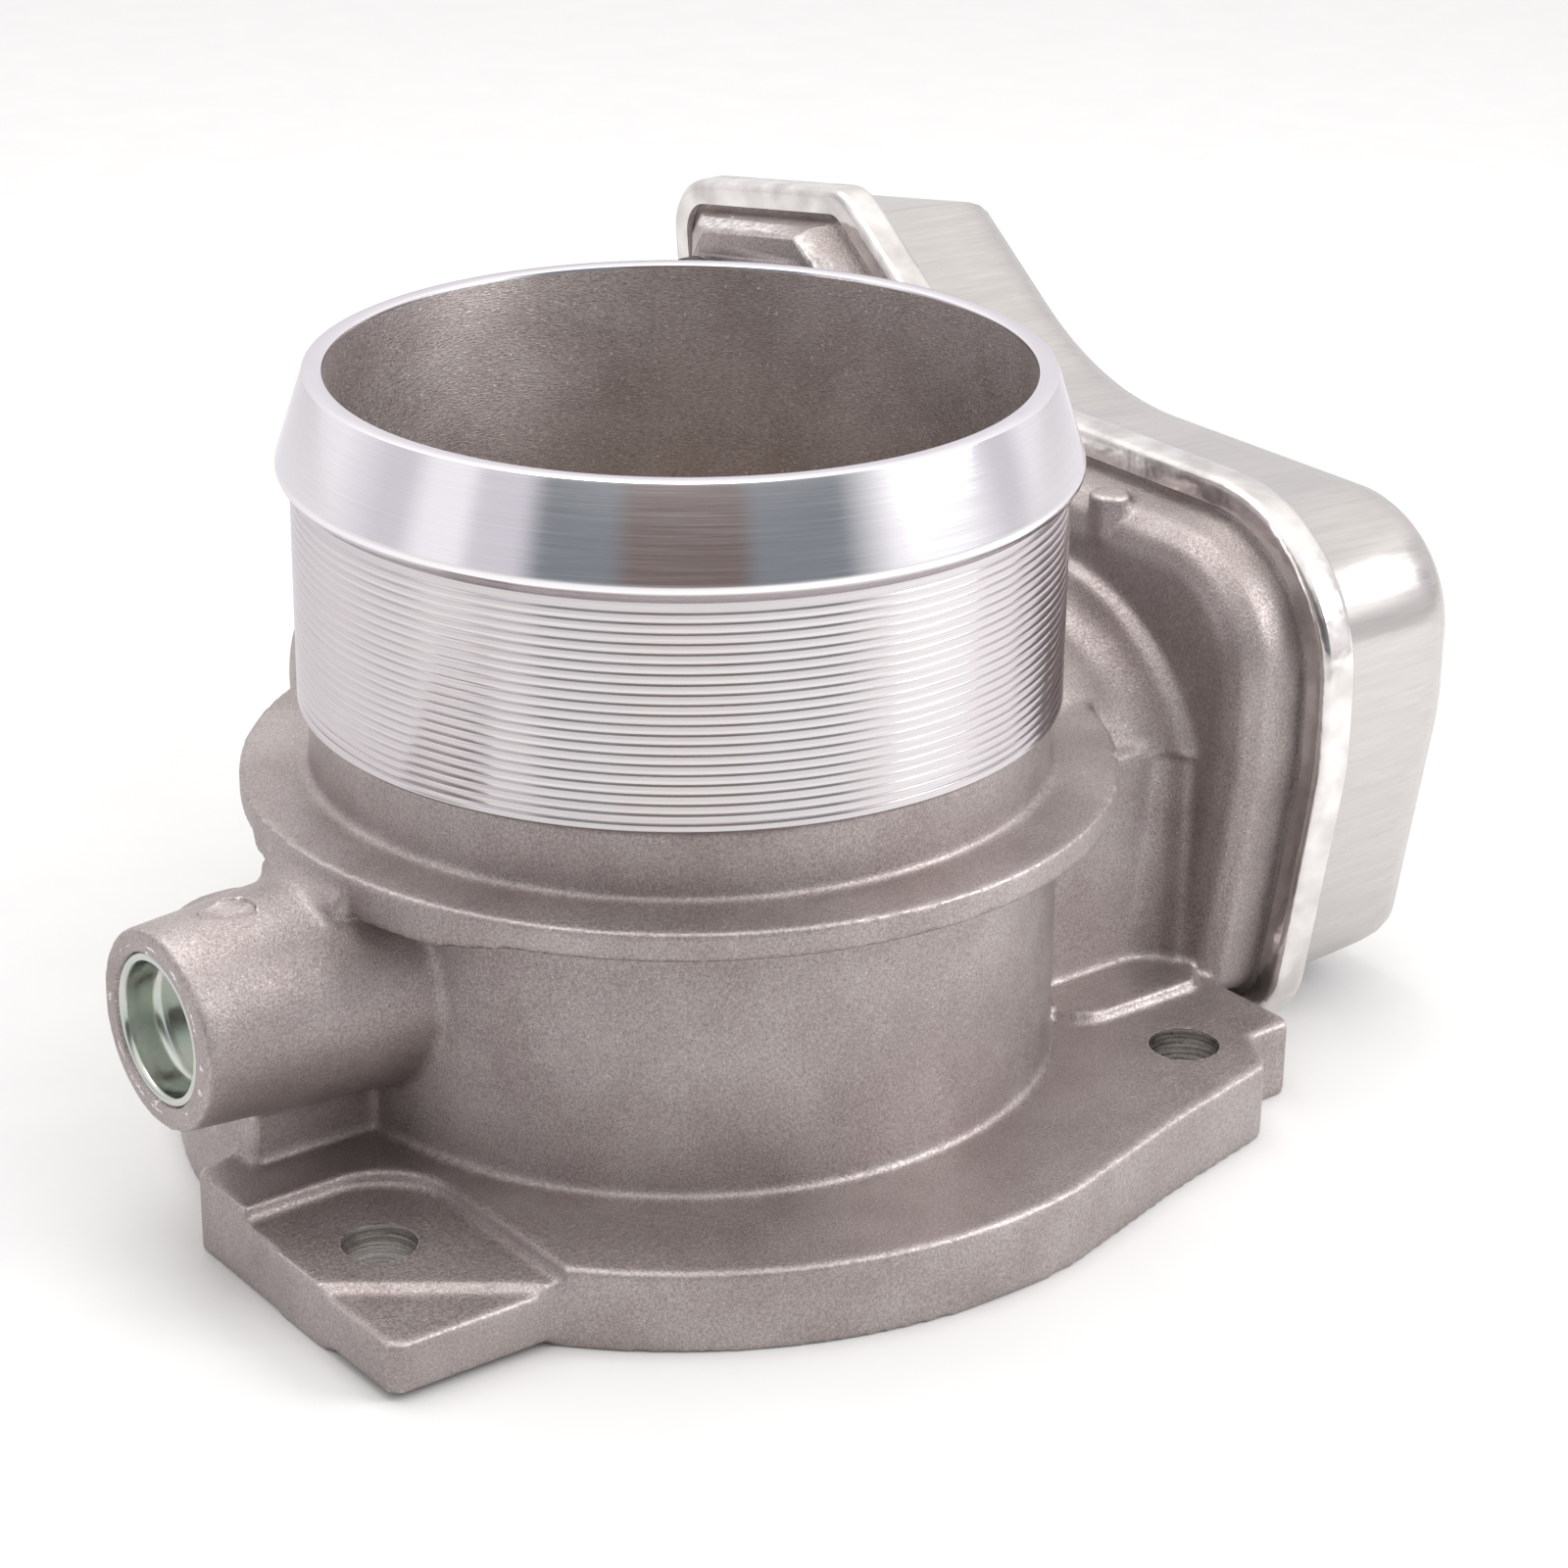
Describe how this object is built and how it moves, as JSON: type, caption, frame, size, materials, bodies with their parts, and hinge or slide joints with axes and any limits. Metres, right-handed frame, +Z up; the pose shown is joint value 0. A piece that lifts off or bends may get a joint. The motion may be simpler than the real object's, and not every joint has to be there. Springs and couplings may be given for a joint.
{
  "type": "throttle body",
  "caption": "Drive-by-wire throttle body: flanged bore with grooved hose spigot, side bearing boss, butterfly plate on a sprung shaft, geared motor and sheet-metal gear cover.",
  "frame": {"origin": "bottom centre of the bounding box, on the gasket face", "axes": "+Z up the air bore towards the hose spigot, +X along the throttle shaft towards the gear cover"},
  "size_m": [0.19, 0.1762, 0.1057],
  "materials": {
    "cast": "shot-blasted casting with turned spigot",
    "steel": "ground",
    "stainless": "brushed along X",
    "zinc": "zinc plated",
    "brass": "turned",
    "rubber": "matt black",
    "black_plastic": "moulded, fine texture",
    "gear_plastic": "natural nylon",
    "magnet": "sintered",
    "board": "circuit board",
    "contact": "tin plated"
  },
  "bodies": {
    "housing": {"throttle_housing": "cast", "cup_plug": "zinc", "needle_bearing": "steel", "shaft_seal_idle": "rubber", "shaft_seal_drive": "rubber", "bearing_outer_race": "steel", "bearing_balls": "steel", "bearing_circlip": "steel", "spring_bush": "black_plastic", "return_spring": "steel", "idler_pin": "steel", "motor_can": "zinc", "motor_end_cap": "black_plastic", "motor_magnet_upper": "magnet", "motor_magnet_lower": "magnet", "motor_bracket": "zinc", "wave_washer": "steel", "bracket_screw_1": "zinc", "bracket_screw_2": "zinc", "gear_cover": "stainless", "cover_seal": "rubber", "sensor_carrier": "black_plastic", "sensor_board": "board", "position_sensor": "black_plastic", "carrier_screw_1": "zinc", "carrier_screw_2": "zinc", "carrier_screw_3": "zinc", "carrier_screw_4": "zinc", "connector_shell": "black_plastic", "terminal_pin_1": "contact", "terminal_pin_2": "contact", "terminal_pin_3": "contact", "terminal_pin_4": "contact", "terminal_pin_5": "contact", "terminal_pin_6": "contact", "connector_screw_1": "zinc", "connector_screw_2": "zinc", "flange_gasket": "rubber"},
    "throttle": {"throttle_shaft": "steel", "throttle_plate": "brass", "plate_screw_1": "steel", "plate_screw_2": "steel", "bearing_inner_race": "steel", "sector_gear": "gear_plastic", "sensor_magnet": "magnet"},
    "idler": {"idler_gear": "gear_plastic"},
    "rotor": {"motor_armature": "steel", "motor_pinion": "brass"}
  },
  "joints": [
    {"name": "throttle_turn", "type": "hinge", "parent": "housing", "child": "throttle", "pos_m": [-0.014, -0.0181, 0.03325], "axis": [1, 0, 0], "range_deg": [-7, 83], "stiffness_Nm_per_rad": 0.3},
    {"name": "idler_spin", "type": "hinge", "parent": "housing", "child": "idler", "pos_m": [-0.014, 0.0175, 0.0386], "axis": [1, 0, 0], "range_deg": [-189, 16.5]},
    {"name": "rotor_spin", "type": "hinge", "parent": "housing", "child": "rotor", "pos_m": [-0.014, 0.0514, 0.036], "axis": [1, 0, 0], "range_deg": [-75, 881]}
  ],
  "couplings": [
    {"joint": "idler_spin", "follows": "throttle_turn", "ratio": -2.2727},
    {"joint": "rotor_spin", "follows": "throttle_turn", "ratio": 10.606}
  ]
}
